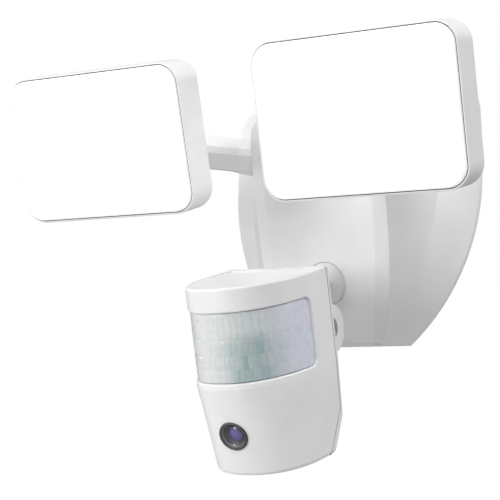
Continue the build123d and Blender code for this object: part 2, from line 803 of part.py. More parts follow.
with BuildPart() as sensor_tilt_nut:
    with BuildSketch(side_on(head, -EAR_HALF_SPAN + 3.5)):
        with Locations((hinge_y, hinge_z)):
            RegularPolygon(SENSOR_PIN_HEAD, 6)
            Circle(SENSOR_PIN + RUNNING, mode=Mode.SUBTRACT)
    extrude(amount=-2.9)
write(sensor_tilt_nut, "sensor_tilt_nut")

# ---- lamp arms and lamps ----
NUT_RADIUS = 11.0

with BuildPart() as arm_nuts:
    for side in (-1, 1):
        with BuildSketch(arm_frame(side).offset(SPIGOT_START + 2)):
            Circle(NUT_RADIUS)
            Circle(SPIGOT_RADIUS + RUNNING, mode=Mode.SUBTRACT)
        extrude(amount=24)
    add(inner_shield, mode=Mode.INTERSECT)
write(arm_nuts, "arm_nuts")


def arm_section(half_width, half_height):
    """The arm's eight-sided section: narrow flats and broad bevels."""
    with BuildSketch() as section:
        Rectangle(2 * half_width, 2 * half_height)
        chamfer(section.vertices(), half_height - ARM_FLAT)
    return section.sketch


def make_lamp(side, name):
    """One lamp with its fixed arm, its swivel and everything inside it."""
    arm_line = arm_frame(side)
    tip = Vector(side * ARM_TIP[0] + ARM_SET, ARM_TIP[1], ARM_TIP[2])
    arm_reach = (tip - arm_line.origin).length
    pan = aimed_frame(tip, LAMP_YAW, 0)
    hinge = place(pan, 0, -SWIVEL_REACH, SWIVEL_RISE[name])
    lamp = aimed_frame(hinge, LAMP_YAW, LAMP_PITCH[name])
    lamp = Plane(origin=place(lamp, 0, -HINGE_BACK, 0), x_dir=lamp.x_dir, z_dir=lamp.z_dir)
    backward = Axis(lamp.origin, lamp.y_dir)
    mouth = -1.0
    bracket_screws_at = GridLocations(28, 22, 2, 2)
    plate_back = LAMP_DEPTH + 3.0

    with BuildPart() as arm:
        with BuildSketch(arm_line.offset(ARM_FOOT_START)):
            add(arm_section(ARM_FOOT_HALF_WIDTH, ARM_FOOT_HALF_HEIGHT))
        extrude(amount=ARM_START - ARM_FOOT_START)
        with BuildSketch(arm_line.offset(ARM_FOOT_START)):
            add(arm_section(ARM_FOOT_HALF_WIDTH, ARM_FOOT_HALF_HEIGHT))
        with BuildSketch(arm_line.offset(ARM_FOOT_END)):
            add(arm_section(ARM_HALF, ARM_HALF))
        loft(ruled=True)
        with BuildSketch(arm_line.offset(ARM_FOOT_END)):
            add(arm_section(ARM_HALF, ARM_HALF))
        extrude(amount=arm_reach - ARM_FOOT_END)
        with Locations(pan.location):
            Sphere(CUP_RADIUS)
        add(outer_shield, mode=Mode.SUBTRACT)
        with BuildSketch(facing(pan, mouth)):
            Circle(2 * CUP_RADIUS)
        extrude(amount=2 * CUP_RADIUS, mode=Mode.SUBTRACT)
        with Locations(pan.location):
            Sphere(SWIVEL_BALL + GAP, mode=Mode.SUBTRACT)
        with BuildSketch(arm_line.offset(SPIGOT_START)):
            Circle(SPIGOT_RADIUS)
        extrude(amount=-SPIGOT_START + 8)
    write(arm, "lamp_arm_" + name)

    with BuildPart() as collar:
        with BuildSketch(facing(pan, mouth)):
            Circle(CUP_RADIUS)
        extrude(amount=3)
        with Locations(pan.location):
            Sphere(SWIVEL_BALL + GAP, mode=Mode.SUBTRACT)
    write(collar, "swivel_collar_" + name)

    with BuildPart() as swivel:
        with Locations(pan.location):
            Sphere(SWIVEL_BALL)
        with BuildSketch(Plane(origin=pan.origin, x_dir=pan.x_dir, z_dir=hinge - pan.origin)):
            Circle(SWIVEL_NECK)
        extrude(amount=(hinge - pan.origin).length)
        with BuildSketch(side_on(lamp, -EAR_INSIDE + GAP)):
            with Locations((HINGE_BACK, 0)):
                Circle(SWIVEL_KNUCKLE)
        extrude(amount=2 * (EAR_INSIDE - GAP))
        with BuildSketch(side_on(lamp, -2 * EAR_INSIDE)):
            with Locations((HINGE_BACK, 0)):
                Circle(LAMP_PIN + RUNNING)
        extrude(amount=4 * EAR_INSIDE, mode=Mode.SUBTRACT)
    write(swivel, "swivel_" + name)

    with BuildPart() as shell:
        with BuildSketch(facing(lamp, LAMP_DEPTH)):
            RectangleRounded(LAMP_WIDTH, LAMP_HEIGHT, LAMP_CORNER)
        extrude(amount=LAMP_DEPTH)
        fillet(shell.faces().sort_by(backward)[-1].edges(), 6.0)
        fillet(shell.faces().sort_by(backward)[0].edges(), 0.8)
        with BuildSketch(facing(lamp, LAMP_DEPTH - LAMP_BACK_WALL)):
            RectangleRounded(
                LAMP_WIDTH - 2 * LAMP_SIDE_WALL,
                LAMP_HEIGHT - 2 * LAMP_SIDE_WALL,
                LAMP_CORNER - LAMP_SIDE_WALL,
            )
        extrude(amount=LAMP_DEPTH, mode=Mode.SUBTRACT)
        with BuildSketch(facing(lamp, LENS_SEAT + 1.0)):
            RectangleRounded(
                LAMP_WIDTH - 2 * LAMP_RIM, LAMP_HEIGHT - 2 * LAMP_RIM, LAMP_CORNER - LAMP_RIM
            )
        extrude(amount=LAMP_DEPTH, mode=Mode.SUBTRACT)
        with BuildSketch(facing(lamp, LAMP_DEPTH)):
            with bracket_screws_at:
                Circle(SCREW_RADIUS + RUNNING)
        extrude(amount=LAMP_BACK_WALL, mode=Mode.SUBTRACT)
        with BuildSketch(facing(lamp, LAMP_DEPTH)):
            with Locations(*COOLING_SLOTS):
                SlotOverall(SLOT_LENGTH, SLOT_WIDTH, rotation=90)
        extrude(amount=SLOT_DEPTH, mode=Mode.SUBTRACT)
    write(shell, "lamp_shell_" + name)

    with BuildPart() as lens:
        with BuildSketch(facing(lamp, LENS_SEAT)):
            RectangleRounded(
                LAMP_WIDTH - 2 * LAMP_RIM - 2 * LENS_GAP,
                LAMP_HEIGHT - 2 * LAMP_RIM - 2 * LENS_GAP,
                LAMP_CORNER - LAMP_RIM - LENS_GAP,
            )
        extrude(amount=LENS_SEAT + LENS_PROUD)
        fillet(lens.faces().sort_by(backward)[0].edges(), LENS_ROUND)
    write(lens, "lamp_lens_" + name)

    with BuildPart() as seal:
        with BuildSketch(facing(lamp, LENS_SEAT + 1.0)):
            RectangleRounded(
                LAMP_WIDTH - 2 * LAMP_RIM - 2 * LENS_GAP,
                LAMP_HEIGHT - 2 * LAMP_RIM - 2 * LENS_GAP,
                LAMP_CORNER - LAMP_RIM - LENS_GAP,
            )
            RectangleRounded(
                LAMP_WIDTH - 2 * LAMP_SIDE_WALL,
                LAMP_HEIGHT - 2 * LAMP_SIDE_WALL,
                LAMP_CORNER - LAMP_SIDE_WALL,
                mode=Mode.SUBTRACT,
            )
        extrude(amount=1.0)
    write(seal, "lamp_gasket_" + name)

    spreader_back = LAMP_DEPTH - LAMP_BACK_WALL
    spreader_front = spreader_back - 3.0
    led_board_front = spreader_front - BOARD_THICKNESS
    with BuildPart() as spreader:
        with BuildSketch(facing(lamp, spreader_back)):
            RectangleRounded(104, 70, 5)
            with bracket_screws_at:
                Circle(SCREW_RADIUS + RUNNING, mode=Mode.SUBTRACT)
        extrude(amount=3.0)
    write(spreader, "heat_spreader_" + name)

    with BuildPart() as led_board:
        with BuildSketch(facing(lamp, spreader_front)):
            RectangleRounded(100, 66, 4)
        extrude(amount=BOARD_THICKNESS)
    write(led_board, "led_board_" + name)

    with BuildPart() as led_chips:
        with BuildSketch(facing(lamp, led_board_front)):
            with GridLocations(15, 14, 6, 4):
                Rectangle(5, 5)
        extrude(amount=1.2)
    write(led_chips, "led_chips_" + name)

    with BuildPart() as bracket:
        with BuildSketch(facing(lamp, plate_back)):
            RectangleRounded(38, 32, 4)
        extrude(amount=3.0)
        for ear_side in (-1, 1):
            with BuildSketch(side_on(lamp, ear_side * EAR_INSIDE)):
                with Locations((HINGE_BACK, 0)):
                    Circle(8.0)
                with Locations(((HINGE_BACK + plate_back - 1) / 2, 0)):
                    Rectangle(HINGE_BACK - plate_back + 1, 16)
            extrude(amount=ear_side * EAR_THICKNESS)
        with BuildSketch(side_on(lamp, -2 * EAR_INSIDE)):
            with Locations((HINGE_BACK, 0)):
                Circle(LAMP_PIN + RUNNING)
        extrude(amount=4 * EAR_INSIDE, mode=Mode.SUBTRACT)
        with BuildSketch(facing(lamp, plate_back)):
            with bracket_screws_at:
                Circle(SCREW_RADIUS + RUNNING)
        extrude(amount=3.0, mode=Mode.SUBTRACT)
    write(bracket, "lamp_bracket_" + name)

    with BuildPart() as bracket_screws:
        with BuildSketch(facing(lamp, plate_back)):
            with bracket_screws_at:
                Circle(SCREW_HEAD - 0.3)
        extrude(amount=-1.6)
        with BuildSketch(facing(lamp, plate_back)):
            with bracket_screws_at:
                Circle(SCREW_RADIUS)
        extrude(amount=9.0)
    write(bracket_screws, "bracket_screws_" + name)

    ear_outside = EAR_INSIDE + EAR_THICKNESS
    with BuildPart() as bolt:
        with BuildSketch(side_on(lamp, -ear_outside - 3.5)):
            with Locations((HINGE_BACK, 0)):
                Circle(LAMP_PIN)
        extrude(amount=2 * ear_outside + 3.5)
        with BuildSketch(side_on(lamp, ear_outside)):
            with Locations((HINGE_BACK, 0)):
                Circle(4.6)
        extrude(amount=3.0)
    write(bolt, "tilt_bolt_" + name)

    with BuildPart() as nut:
        with BuildSketch(side_on(lamp, -ear_outside)):
            with Locations((HINGE_BACK, 0)):
                RegularPolygon(4.6, 6)
                Circle(LAMP_PIN + RUNNING, mode=Mode.SUBTRACT)
        extrude(amount=-3.0)
    write(nut, "tilt_nut_" + name)


make_lamp(-1, "left")
make_lamp(1, "right")
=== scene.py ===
"""The looks of the floodlight camera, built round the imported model.

Metres, unless a name or comment says millimetres. -Y is the front and +Z is up.
"""

import json
import math
import random

import bmesh
import bpy
from mathutils import Matrix, Vector


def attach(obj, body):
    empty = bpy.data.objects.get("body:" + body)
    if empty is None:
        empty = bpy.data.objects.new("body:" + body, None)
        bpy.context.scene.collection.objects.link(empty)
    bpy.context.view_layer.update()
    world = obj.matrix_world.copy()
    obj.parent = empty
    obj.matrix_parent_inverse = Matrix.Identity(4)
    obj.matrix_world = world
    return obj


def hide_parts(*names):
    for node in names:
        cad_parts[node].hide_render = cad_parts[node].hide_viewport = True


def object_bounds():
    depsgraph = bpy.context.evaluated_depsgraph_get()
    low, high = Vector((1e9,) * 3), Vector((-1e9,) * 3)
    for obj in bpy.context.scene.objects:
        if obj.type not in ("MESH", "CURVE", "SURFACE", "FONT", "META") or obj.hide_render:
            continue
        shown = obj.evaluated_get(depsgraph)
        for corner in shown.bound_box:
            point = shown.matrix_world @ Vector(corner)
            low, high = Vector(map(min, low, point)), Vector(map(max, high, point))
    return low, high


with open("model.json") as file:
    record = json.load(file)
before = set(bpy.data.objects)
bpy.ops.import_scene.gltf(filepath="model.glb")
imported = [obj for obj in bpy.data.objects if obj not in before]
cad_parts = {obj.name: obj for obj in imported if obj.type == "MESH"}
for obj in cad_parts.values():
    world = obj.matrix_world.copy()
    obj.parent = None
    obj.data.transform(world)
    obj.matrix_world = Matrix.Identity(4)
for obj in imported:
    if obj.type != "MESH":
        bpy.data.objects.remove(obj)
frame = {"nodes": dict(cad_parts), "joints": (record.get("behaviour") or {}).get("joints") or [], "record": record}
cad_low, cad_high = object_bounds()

MM = 0.001
JOINTS = {joint["name"]: joint for joint in frame["joints"]}

# ---- how the parts are set, in millimetres and degrees ----
HEAD_PITCH = 16.0
HEAD_FORWARD = 67.1
HEAD_RISE = 0.8
HEAD_DEPTH = 73.4
HEAD_HEIGHT = 107.0
CHIN_TOP = 56.0
CHIN_DEPTH = 60.5
CAMERA_DROP = 83.0
LAMP_PITCH = {"left": 19.3, "right": 16.6}
HINGE_BACK = 38.0


def aimed_frame(origin, yaw, pitch):
    """A frame whose -Y looks along an aim turned toward +X by yaw and down by pitch, in degrees."""
    turn, dip = math.radians(yaw), math.radians(pitch)
    across = Vector((math.cos(turn), math.sin(turn), 0))
    behind = Vector(
        (-math.sin(turn) * math.cos(dip), math.cos(turn) * math.cos(dip), math.sin(dip))
    )
    rows = (across, behind, across.cross(behind))
    return Matrix.Translation(origin) @ Matrix(rows).transposed().to_4x4()


def moved(place, x, y, z):
    """The frame moved by an offset in its own millimetres."""
    return place @ Matrix.Translation((x * MM, y * MM, z * MM))


def turned(place, degrees, axis):
    """The frame turned about one of its own axes."""
    return place @ Matrix.Rotation(math.radians(degrees), 4, axis)


def yaw_of(joint):
    """How far a tilt joint's axle is turned from +X, in degrees."""
    axle = JOINTS[joint]["axis"]
    return math.degrees(math.atan2(axle[1], axle[0]))


head_yaw = yaw_of("sensor_tilt")
ball = aimed_frame(Vector(JOINTS["sensor_pan"]["pos_m"]), head_yaw, 0)
head = aimed_frame(moved(ball, 0, -HEAD_FORWARD, HEAD_RISE).translation, head_yaw, HEAD_PITCH)
chin_lean = math.atan((HEAD_DEPTH - CHIN_DEPTH) / (HEAD_HEIGHT - CHIN_TOP))
camera_out = HEAD_DEPTH - (CAMERA_DROP - CHIN_TOP) * math.tan(chin_lean)
camera_mount = aimed_frame(
    moved(head, 0, -camera_out, -CAMERA_DROP).translation,
    head_yaw,
    HEAD_PITCH + math.degrees(chin_lean),
)


def lamp_frame(name):
    """A lamp's own frame: its origin is the middle of the face and -Y looks out."""
    joint = name + "_lamp_tilt"
    hinge = Vector(JOINTS[joint]["pos_m"])
    return moved(aimed_frame(hinge, yaw_of(joint), LAMP_PITCH[name]), 0, -HINGE_BACK, 0)


# ---- materials ----
NOISE_EDGES = (0.3, 0.7)  # nearly all of a noise lies between these


class Material:
    """A node material under construction: a Principled shader and helpers to feed it."""

    def __init__(self, name, **sockets):
        self.made = bpy.data.materials.new(name)
        self.made.use_nodes = True
        self.tree = self.made.node_tree
        self.shader = self.tree.nodes["Principled BSDF"]
        for key, value in sockets.items():
            self.shader.inputs[key.replace("_", " ")].default_value = value
        self.where = self.node("ShaderNodeTexCoord").outputs["Object"]

    def node(self, kind, **settings):
        """Adds a node; settings are sockets by name, or properties."""
        made = self.tree.nodes.new(kind)
        for key, value in settings.items():
            label = key.replace("_", " ")
            if label in made.inputs:
                made.inputs[label].default_value = value
            else:
                setattr(made, key, value)
        return made

    def join(self, source, target):
        self.tree.links.new(source, target)

    def noise(self, size, detail=3.0):
        """Noise whose blotches are about this many millimetres across."""
        made = self.node("ShaderNodeTexNoise", Scale=1.0 / (size * MM), Detail=detail)
        self.join(self.where, made.inputs["Vector"])
        return made.outputs["Fac"]

    def cells(self, size):
        """Pits or beads about this many millimetres apart."""
        made = self.node("ShaderNodeTexVoronoi", Scale=1.0 / (size * MM))
        self.join(self.where, made.inputs["Vector"])
        return made.outputs["Distance"]

    def ramp(self, source, stops):
        """A colour ramp from (position, colour) stops."""
        made = self.node("ShaderNodeValToRGB")
        self.join(source, made.inputs["Fac"])
        elements = made.color_ramp.elements
        while len(elements) > len(stops):
            elements.remove(elements[-1])
        while len(elements) < len(stops):
            elements.new(0.5)
        for element, (position, colour) in zip(elements, stops):
            element.position = position
            element.color = (*colour, 1.0)
        return made.outputs["Color"]

    def spread(self, source, low, high):
        """Maps the middle of a noise onto low to high."""
        start, end = NOISE_EDGES
        made = self.node(
            "ShaderNodeMapRange", From_Min=start, From_Max=end, To_Min=low, To_Max=high
        )
        self.join(source, made.inputs["Value"])
        return made.outputs["Result"]

    def colour(self, socket):
        self.join(socket, self.shader.inputs["Base Color"])
        return self

    def mottle(self, size, low, high, detail=3.0, edges=NOISE_EDGES):
        """Colours the surface in blotches this many millimetres across, from low to high."""
        stops = list(zip(edges, (low, high)))
        return self.colour(self.ramp(self.noise(size, detail), stops))

    def roughness(self, low, high, size):
        """Roughness that shifts between low and high in patches of this many millimetres."""
        self.join(self.spread(self.noise(size), low, high), self.shader.inputs["Roughness"])
        return self

    def bump(self, *layers, soften=0.0):
        """Each layer is (height socket, depth in millimetres); soften rounds edges by that many."""
        normal = None
        if soften:
            edge = self.node("ShaderNodeBevel", samples=4, Radius=soften * MM)
            normal = edge.outputs["Normal"]
        for height, depth in layers:
            made = self.node("ShaderNodeBump", Distance=depth * MM, Strength=1.0)
            self.join(height, made.inputs["Height"])
            if normal is not None:
                self.join(normal, made.inputs["Normal"])
            normal = made.outputs["Normal"]
        self.join(normal, self.shader.inputs["Normal"])
        return self


def grey(value, tint=(1.0, 1.0, 1.0)):
    """A grey of this brightness with a slight tint."""
    return tuple(value * part for part in tint)


def moulded(name, low, high, rough, grain=0.35, depth=0.012, **sockets):
    """Moulded plastic: slow shifts of colour, fine spark-eroded grain and faint flow marks."""
    made = Material(name, **sockets)
    made.mottle(26.0, low, high, detail=4.0, edges=(0.32, 0.68))
    made.roughness(rough - 0.05, rough + 0.05, 9.0)
    made.bump((made.noise(14.0, 2.0), depth * 6), (made.cells(grain), depth), soften=0.45)
    return made


def metal(name, low, high, rough):
    """Plated or bare metal with fine brushing and dull patches."""
    made = Material(name, Metallic=1.0)
    made.mottle(2.5, low, high)
    made.roughness(rough - 0.08, rough + 0.1, 1.2)
    made.bump((made.noise(0.25, 2.0), 0.006))
    return made


WARM = (1.0, 0.995, 0.985)  # the tint of the white mouldings
MATERIALS = {
    "white_plastic": moulded(
        "white_plastic",
        grey(0.82, WARM),
        grey(0.86, WARM),
        0.36,
        Coat_Weight=0.12,
        Coat_Roughness=0.22,
    ),
    "inner_plastic": moulded("inner_plastic", grey(0.70), grey(0.76), 0.5),
    "black_plastic": moulded("black_plastic", grey(0.018), grey(0.03), 0.45),
    "bezel_plastic": moulded(
        "bezel_plastic", grey(0.045), grey(0.07), 0.36, grain=0.22, Coat_Weight=0.2
    ),
    "zinc_steel": metal("zinc_steel", (0.52, 0.52, 0.55), (0.70, 0.70, 0.72), 0.32),
    "bare_aluminium": metal("bare_aluminium", (0.66, 0.67, 0.69), (0.80, 0.81, 0.83), 0.38),
    "copper_foil": metal("copper_foil", (0.62, 0.32, 0.16), (0.78, 0.45, 0.24), 0.34),
}


def make_seal():
    """Dark rubber with a dull pitted skin."""
    made = Material("seal_rubber")
    made.mottle(3.0, grey(0.09), grey(0.13))
    made.roughness(0.68, 0.85, 2.0)
    return made.bump((made.cells(0.5), 0.05))


def make_board(name, low, high, track):
    """Solder mask with tracks showing through as faint ridges."""
    made = Material(name, Coat_Weight=0.35, Coat_Roughness=0.12)
    lines = made.node("ShaderNodeTexBrick", Scale=1.0 / (9.0 * MM), Mortar_Size=0.03)
    lines.inputs["Color1"].default_value = (*low, 1.0)
    lines.inputs["Color2"].default_value = (*high, 1.0)
    lines.inputs["Mortar"].default_value = (*track, 1.0)
    made.join(made.where, lines.inputs["Vector"])
    made.colour(lines.outputs["Color"])
    made.roughness(0.3, 0.45, 3.0)
    return made.bump((lines.outputs["Fac"], 0.03))


def make_diffuser():
    """Opal acrylic, lit evenly from behind, with a fine matt grain."""
    made = Material(
        "frosted_lens",
        Emission_Color=(1.0, 1.0, 1.0, 1.0),
        Emission_Strength=0.28,
        Subsurface_Weight=0.15,
        Subsurface_Scale=0.004,
    )
    made.mottle(11.0, grey(0.93), grey(0.97), detail=2.0)
    made.roughness(0.42, 0.5, 6.0)
    return made.bump((made.cells(0.5), 0.01))


def make_phosphor():
    """The yellow gel on a white LED."""
    made = Material("led_phosphor", Coat_Weight=0.6)
    made.mottle(1.1, (0.85, 0.62, 0.08), (0.93, 0.74, 0.16))
    made.roughness(0.3, 0.4, 0.8)
    return made.bump((made.noise(0.4), 0.02))


def make_glass():
    """The camera's clear front window."""
    made = Material("clear_glass", Transmission_Weight=1.0, IOR=1.5)
    made.mottle(5.0, grey(0.94), grey(0.99))
    made.roughness(0.0, 0.04, 2.0)
    return made.bump((made.noise(4.0), 0.002))


def make_coated():
    """Coated lens glass, a deep violet."""
    made = Material("coated_lens", Specular_IOR_Level=0.7, Coat_Weight=0.6, Coat_Roughness=0.03)
    made.mottle(3.0, (0.028, 0.020, 0.15), (0.05, 0.035, 0.26))
    made.roughness(0.05, 0.12, 2.0)
    return made.bump((made.noise(1.5), 0.002))


def make_milky():
    """Thin milky film. The facets' tint comes from the mesh, with painted shade: darker where the dark hollow
    behind the film shows through.
    """
    made = Material(
        "milky_lens",
        Subsurface_Weight=0.25,
        Subsurface_Scale=0.002,
        Coat_Weight=0.5,
        Coat_Roughness=0.16,
    )
    # the vertex colours carry the facets' tint and the painted shade of the hollow behind
    tint = made.node("ShaderNodeVertexColor", layer_name="facet_tint_and_shade")
    cloud = made.node("ShaderNodeMix", data_type="RGBA", blend_type="MULTIPLY")
    cloud.inputs["Factor"].default_value = 1.0
    first, second, result = cloud.inputs[6], cloud.inputs[7], cloud.outputs[2]
    made.join(tint.outputs["Color"], first)
    stops = list(zip(NOISE_EDGES, (grey(0.95), grey(1.0))))
    made.join(made.ramp(made.noise(5.0, 2.0), stops), second)
    made.colour(result)
    made.roughness(0.24, 0.32, 4.0)
    return made.bump((made.noise(3.0, 1.0), 0.01))


# the grey paint of the bevel inside the camera's bezel
BEVEL_PAINT = moulded("bevel_paint", grey(0.11), grey(0.16), 0.4, grain=0.22)
MATERIALS.update(
    seal_rubber=make_seal(),
    circuit_board=make_board(
        "circuit_board", (0.012, 0.12, 0.045), (0.016, 0.15, 0.055), (0.02, 0.2, 0.08)
    ),
    white_circuit_board=make_board("white_circuit_board", grey(0.82), grey(0.85), grey(0.7)),
    frosted_lens=make_diffuser(),
    led_phosphor=make_phosphor(),
    clear_glass=make_glass(),
    coated_lens=make_coated(),
    milky_lens=make_milky(),
)


def paint(obj, slot):
    """Gives an object the material of a slot of the record."""
    made = MATERIALS[slot].made
    if not obj.material_slots:
        obj.data.materials.append(made)
    for place in obj.material_slots:
        place.material = made


for row in frame["record"]["subparts"]:
    paint(frame["nodes"][row["node"]], row["material_slot"])


# ---- mesh helpers ----
def placed(name, data):
    """A new object in the scene."""
    obj = bpy.data.objects.new(name, data)
    bpy.context.scene.collection.objects.link(obj)
    return obj


def piece(name, mesh, place, body, slot, smooth=True):
    """Makes a piece from a bmesh in a frame's own metres and rides it on a body."""
    data = bpy.data.meshes.new(name)
    bmesh.ops.recalc_face_normals(mesh, faces=mesh.faces)
    mesh.to_mesh(data)
    mesh.free()
    data.transform(place)
    if smooth:
        data.shade_smooth()
    obj = placed(name, data)
    paint(obj, slot)
    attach(obj, body)
    return obj


# ---- the motion sensor's faceted window, in millimetres and degrees from the front ----
HEAD_HALF_WIDTH = 33.2
HEAD_REACH = 54.4
HEAD_FULLNESS = 2.3
LENS_CENTRE = -19.0
LENS_SINK = 1.15  # how far the sheet lies below the head's skin in the opening
LENS_STEP = 2.5  # and round it, behind the frame
LENS_INSIDE = 3.65  # the depth of the sheet's inside
LENS_BACK = -17.0
LENS_TOP = -11.2
LENS_BOTTOM = -55.0
OPENING_END = -22.8
OPENING_TOP = -14.1
OPENING_BOTTOM = -52.1
OPENING_CORNER = 4.5
WINDOW_COLUMNS = 420
WINDOW_ROWS = 120
INSIDE_EVERY = 6  # the smooth inside needs fewer columns
FACET_SPAN = 70.0
# top, bottom, facets across, and the row's shift in facets
FACET_ROWS = [
    (-14.6, -29.0, 24, 0.0),
    (-29.0, -38.0, 27, 0.5),
    (-38.0, -45.5, 27, 0.0),
    (-45.5, -51.6, 24, 0.5),
]
FACET_COLUMNS = 30  # draws made for a row, more than any row has
FACET_CROWN = 0.22
CROWN_ACROSS = 0.6
CROWN_DOWN = 0.4
FACET_TILT = 0.25
FACET_NOD = 0.5
FACET_EDGE = 0.06  # the share of a facet over which its relief fades at its edges
# painted shade of the dark hollow behind the film: where it is painted, and its colours
HOLLOW_ANGLE = 30.0
HOLLOW_SPREAD = 24.0
HOLLOW_TOP = -22.0
HOLLOW_FADE = 10.0
HOLLOW_LEAST = 0.3
HOLLOW_SHADE_STRENGTH = 0.86
HOLLOW_VARIES = 0.22
BLUE_START = 40.0
BLUE_FADE = 30.0
BLUE_END = 0.09
PALE_FILM = (0.74, 0.76, 0.75)
PALE_VARIES = 0.02
HOLLOW_SHADE_FILM = (0.30, 0.42, 0.42)


def facet_at(angle, height):
    """(row, column, across 0-1, down 0-1) of the facet at a point of the window, or None."""
    for row, (top, bottom, count, shift) in enumerate(FACET_ROWS):
        if bottom <= height < top and abs(angle) < FACET_SPAN:
            along = (angle + FACET_SPAN) / (2 * FACET_SPAN) * count + shift
            return row, int(along), along % 1.0, (top - height) / (top - bottom)
    return None


def facet_draws():
    """A random tilt and tone for every facet."""
    draws = random.Random(11)
    return {
        (row, column): (draws.uniform(-1, 1), draws.uniform(-1, 1))
        for row in range(len(FACET_ROWS))
        for column in range(FACET_COLUMNS)
    }


def clamp(value, low=0.0, high=1.0):
    return min(high, max(low, value))


def window_tone(angle, height, tone):
    """Milky, bluer at one end, and a deeper grey-green of painted shade where the dark hollow behind shows
    through.
    """
    # painted shade of the hollow behind: deepest 30 degrees toward +X from the front, and deeper lower down
    depth = math.exp(-(((angle - HOLLOW_ANGLE) / HOLLOW_SPREAD) ** 2))
    depth *= clamp((HOLLOW_TOP - height) / HOLLOW_FADE, HOLLOW_LEAST)
    depth = clamp(depth * (HOLLOW_SHADE_STRENGTH + HOLLOW_VARIES * tone))
    pale = [part + PALE_VARIES * tone for part in PALE_FILM]
    pale[2] += BLUE_END * clamp((angle - BLUE_START) / BLUE_FADE)
    return [milky + (deep - milky) * depth for milky, deep in zip(pale, HOLLOW_SHADE_FILM)]


def in_opening(y, z):
    """True where a point of the sheet, in millimetres, stands in the window's opening."""
    across = OPENING_END - y
    upright = min(OPENING_TOP - z, z - OPENING_BOTTOM)
    if across < 0 or upright < 0:
        return False
    corner = max(0, OPENING_CORNER - across), max(0, OPENING_CORNER - upright)
    return math.hypot(*corner) < OPENING_CORNER


def head_plan(angle, inset):
    """A point of the head's plan at an angle from the front, and the outward normal there."""
    across, forward = math.sin(math.radians(angle)), math.cos(math.radians(angle))
    fill = abs(across) ** HEAD_FULLNESS + abs(forward) ** HEAD_FULLNESS
    size = fill ** (-1 / HEAD_FULLNESS)
    half, deep = HEAD_HALF_WIDTH - inset, HEAD_REACH - inset
    point = Vector((half * across * size, LENS_CENTRE - deep * forward * size, 0))
    lean = HEAD_FULLNESS - 1
    normal = Vector(
        (math.copysign(abs(across) ** lean, across) / half, -(abs(forward) ** lean) / deep, 0)
    )
    return point, normal.normalized()


def facet_relief(angle, height, draws):
    """How far a point stands proud within its facet; nothing between the facets."""
    found = facet_at(angle, height)
    if not found:
        return 0.0
    row, index, beside, down = found
    tilt, nod = draws[(row, index)]
    edge = min(beside, 1 - beside, down, 1 - down)
    crown = 1 - (2 * beside - 1) ** 2 * CROWN_ACROSS - (2 * down - 1) ** 2 * CROWN_DOWN
    slope = tilt * (beside - 0.5) + nod * (down - 0.5) * FACET_NOD
    return (FACET_CROWN * crown + FACET_TILT * slope) * min(1.0, edge / FACET_EDGE)


def tint_and_shade_facets(mesh, draws):
    """Colours each face of the window by its place and its facet's draw, painted shade of the hollow included."""
    colours = mesh.loops.layers.float_color["facet_tint_and_shade"]
    for face in mesh.faces:
        centre = face.calc_center_median() / MM
        angle = math.degrees(
            math.atan2(centre.x / HEAD_HALF_WIDTH, (LENS_CENTRE - centre.y) / HEAD_REACH)
        )
        found = facet_at(angle, centre.z)
        tone = draws[found[:2]][0] if found else 0.0
        colour = window_tone(angle, centre.z, tone)
        for loop in face.loops:
            loop[colours] = (*colour, 1.0)


def motion_window():
    """The window's sheet: facets outside, smooth inside, and closed all round."""
    draws = facet_draws()
    angles = [-90 + 180 * i / WINDOW_COLUMNS for i in range(WINDOW_COLUMNS + 1)]
    drop = LENS_BOTTOM - LENS_TOP
    heights = [LENS_TOP + drop * i / WINDOW_ROWS for i in range(WINDOW_ROWS + 1)]
    mesh = bmesh.new()
    mesh.loops.layers.float_color.new("facet_tint_and_shade")

    def column(angle, inset):
        """One upright row of points, standing proud in the opening and more so in each facet."""
        base, normal = head_plan(angle, inset)
        points = []
        for height in heights:
            proud = 0.0
            if inset == LENS_STEP and in_opening(base.y, height):
                proud = LENS_STEP - LENS_SINK + facet_relief(angle, height, draws)
            point = base + normal * proud + Vector((0, 0, height))
            points.append(mesh.verts.new(point * MM))
        return points

    outside = [column(angle, LENS_STEP) for angle in angles]
    inside = [column(angle, LENS_INSIDE) for angle in angles[::INSIDE_EVERY]]

    def tab(points):
        """Carries an end of the sheet straight back behind the window's frame."""
        return [mesh.verts.new((v.co.x, LENS_BACK * MM, v.co.z)) for v in points]

    outside = [tab(outside[0])] + outside + [tab(outside[-1])]
    inside = [tab(inside[0])] + inside + [tab(inside[-1])]

    def skin(columns, flip):
        """Faces between neighbouring columns."""
        for left, right in zip(columns, columns[1:]):
            for i in range(len(left) - 1):
                corners = (left[i], left[i + 1], right[i + 1], right[i])
                mesh.faces.new(corners[::-1] if flip else corners)

    skin(outside, False)
    skin(inside, True)
    for end in (0, -1):
        for i in range(len(heights) - 1):
            corners = (outside[end][i], outside[end][i + 1], inside[end][i + 1], inside[end][i])
            mesh.faces.new(corners)
    for end in (0, -1):
        rim = [c[end] for c in outside] + [c[end] for c in reversed(inside)]
        mesh.faces.new(rim)
    bmesh.ops.triangulate(mesh, faces=[f for f in mesh.faces if len(f.verts) > 4])
    tint_and_shade_facets(mesh, draws)
    obj = piece("faceted_motion_window", mesh, head, "sensor_head", "milky_lens")
    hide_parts("motion_lens")


motion_window()


